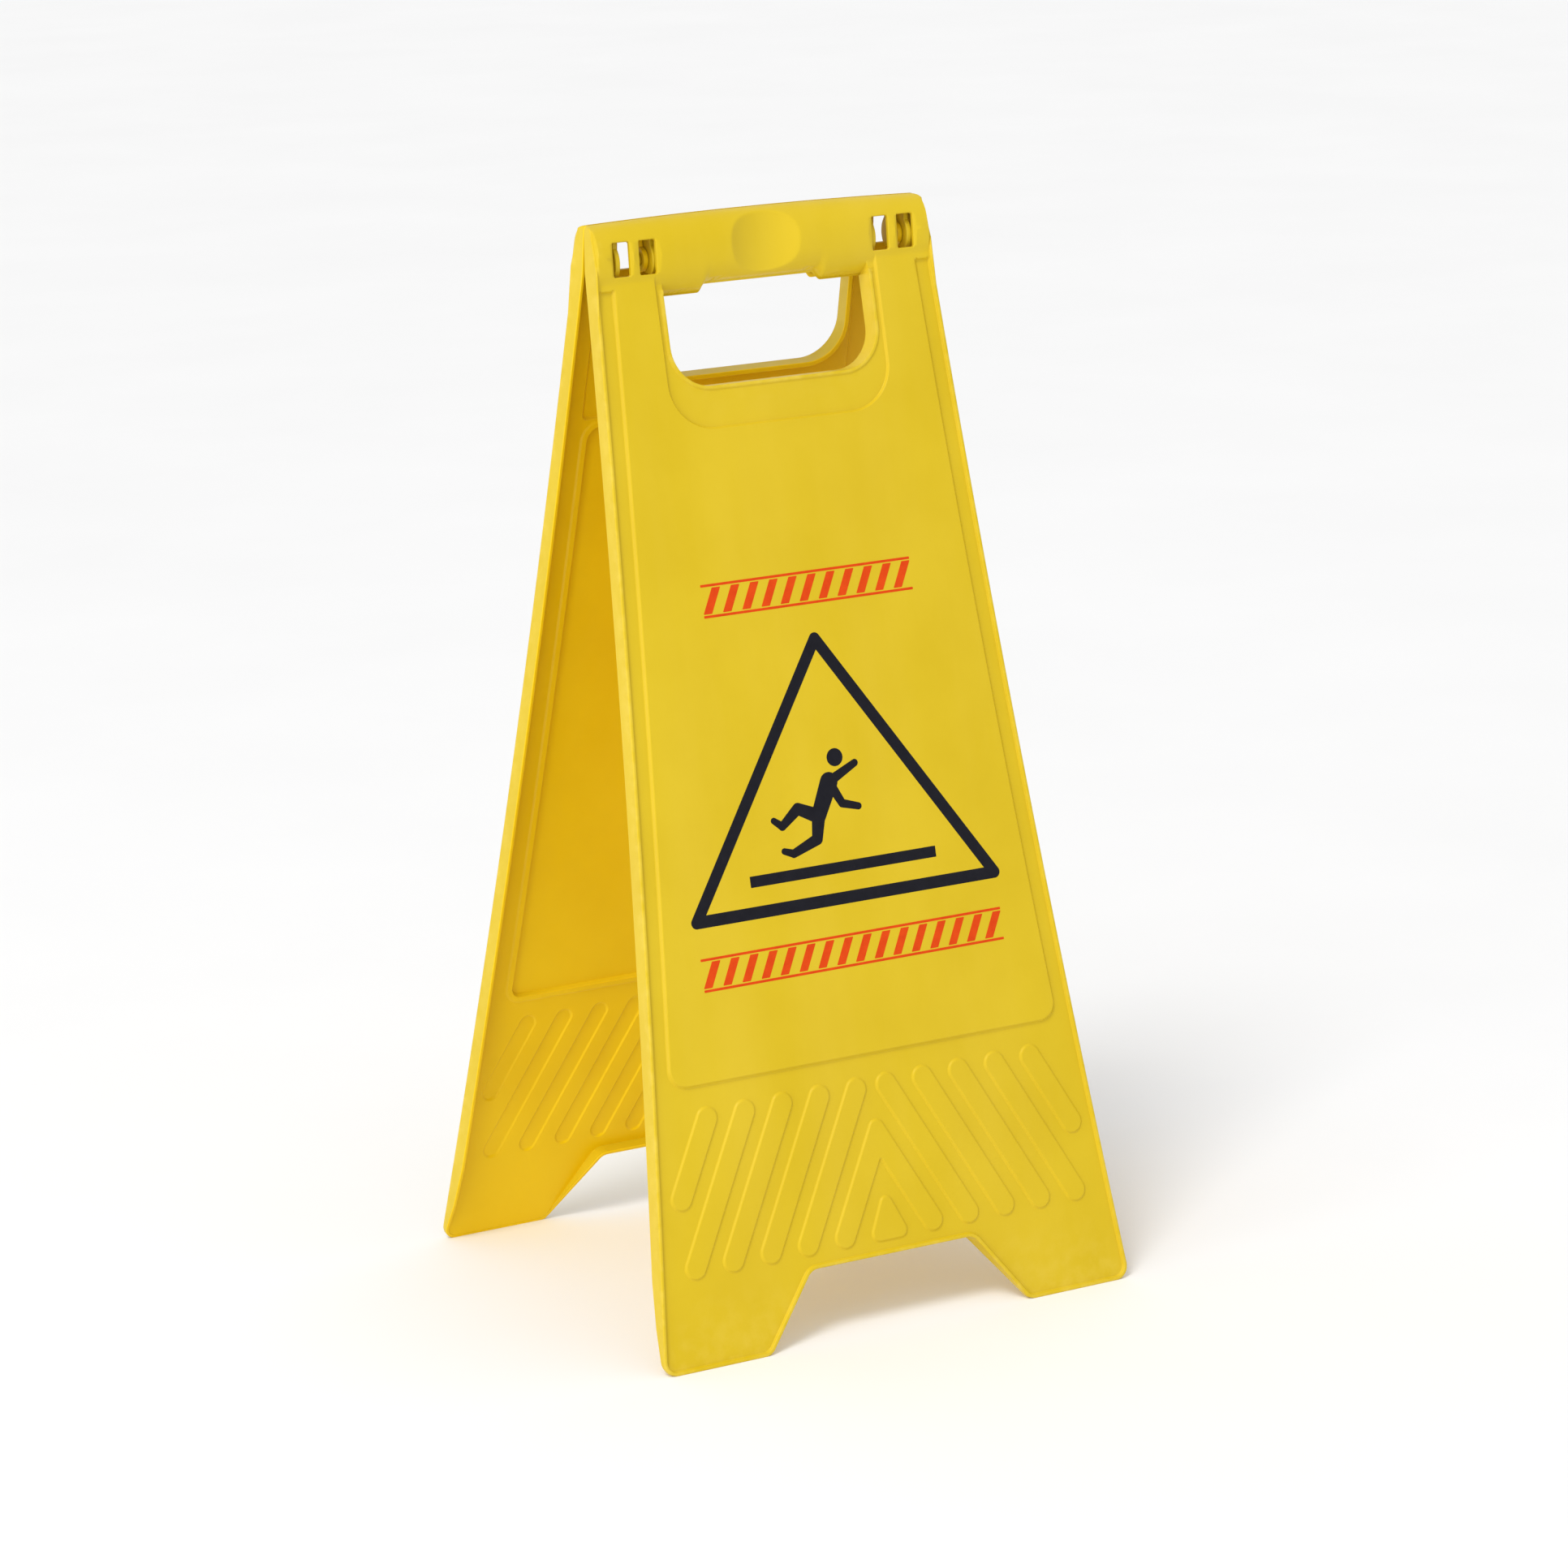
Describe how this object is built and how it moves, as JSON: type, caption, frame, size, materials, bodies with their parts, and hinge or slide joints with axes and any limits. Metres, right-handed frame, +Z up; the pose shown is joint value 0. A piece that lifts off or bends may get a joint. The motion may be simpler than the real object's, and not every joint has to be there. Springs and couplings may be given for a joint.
{
  "type": "wet floor sign",
  "caption": "Folding A-frame floor warning sign: two hinged moulded leaves with a carrying handle, a warning triangle, a slipping figure and striped bands.",
  "frame": {"origin": "on the floor, under the middle of the hinge axis, with the sign standing open", "axes": "+Z up, X along the hinge axis, -Y from the hinge towards the front leaf's foot"},
  "size_m": [0.298, 0.2802, 0.6092],
  "materials": {
    "yellow_plastic": "satin injection-moulded polypropylene, fine grain",
    "black_print": "satin printed foil",
    "red_print": "satin printed foil"
  },
  "bodies": {
    "front": {"front_leaf": "yellow_plastic", "front_warning_triangle": "black_print", "front_slipping_figure": "black_print", "front_floor_line": "black_print", "front_upper_stripes": "red_print", "front_lower_stripes": "red_print"},
    "rear": {"rear_leaf": "yellow_plastic", "rear_warning_triangle": "black_print", "rear_slipping_figure": "black_print", "rear_floor_line": "black_print", "rear_upper_stripes": "red_print", "rear_lower_stripes": "red_print"}
  },
  "joints": [
    {"name": "fold_hinge", "type": "hinge", "parent": "front", "child": "rear", "pos_m": [0, 0, 0.58623], "axis": [-1, 0, 0], "range_deg": [0, 24.6]}
  ]
}
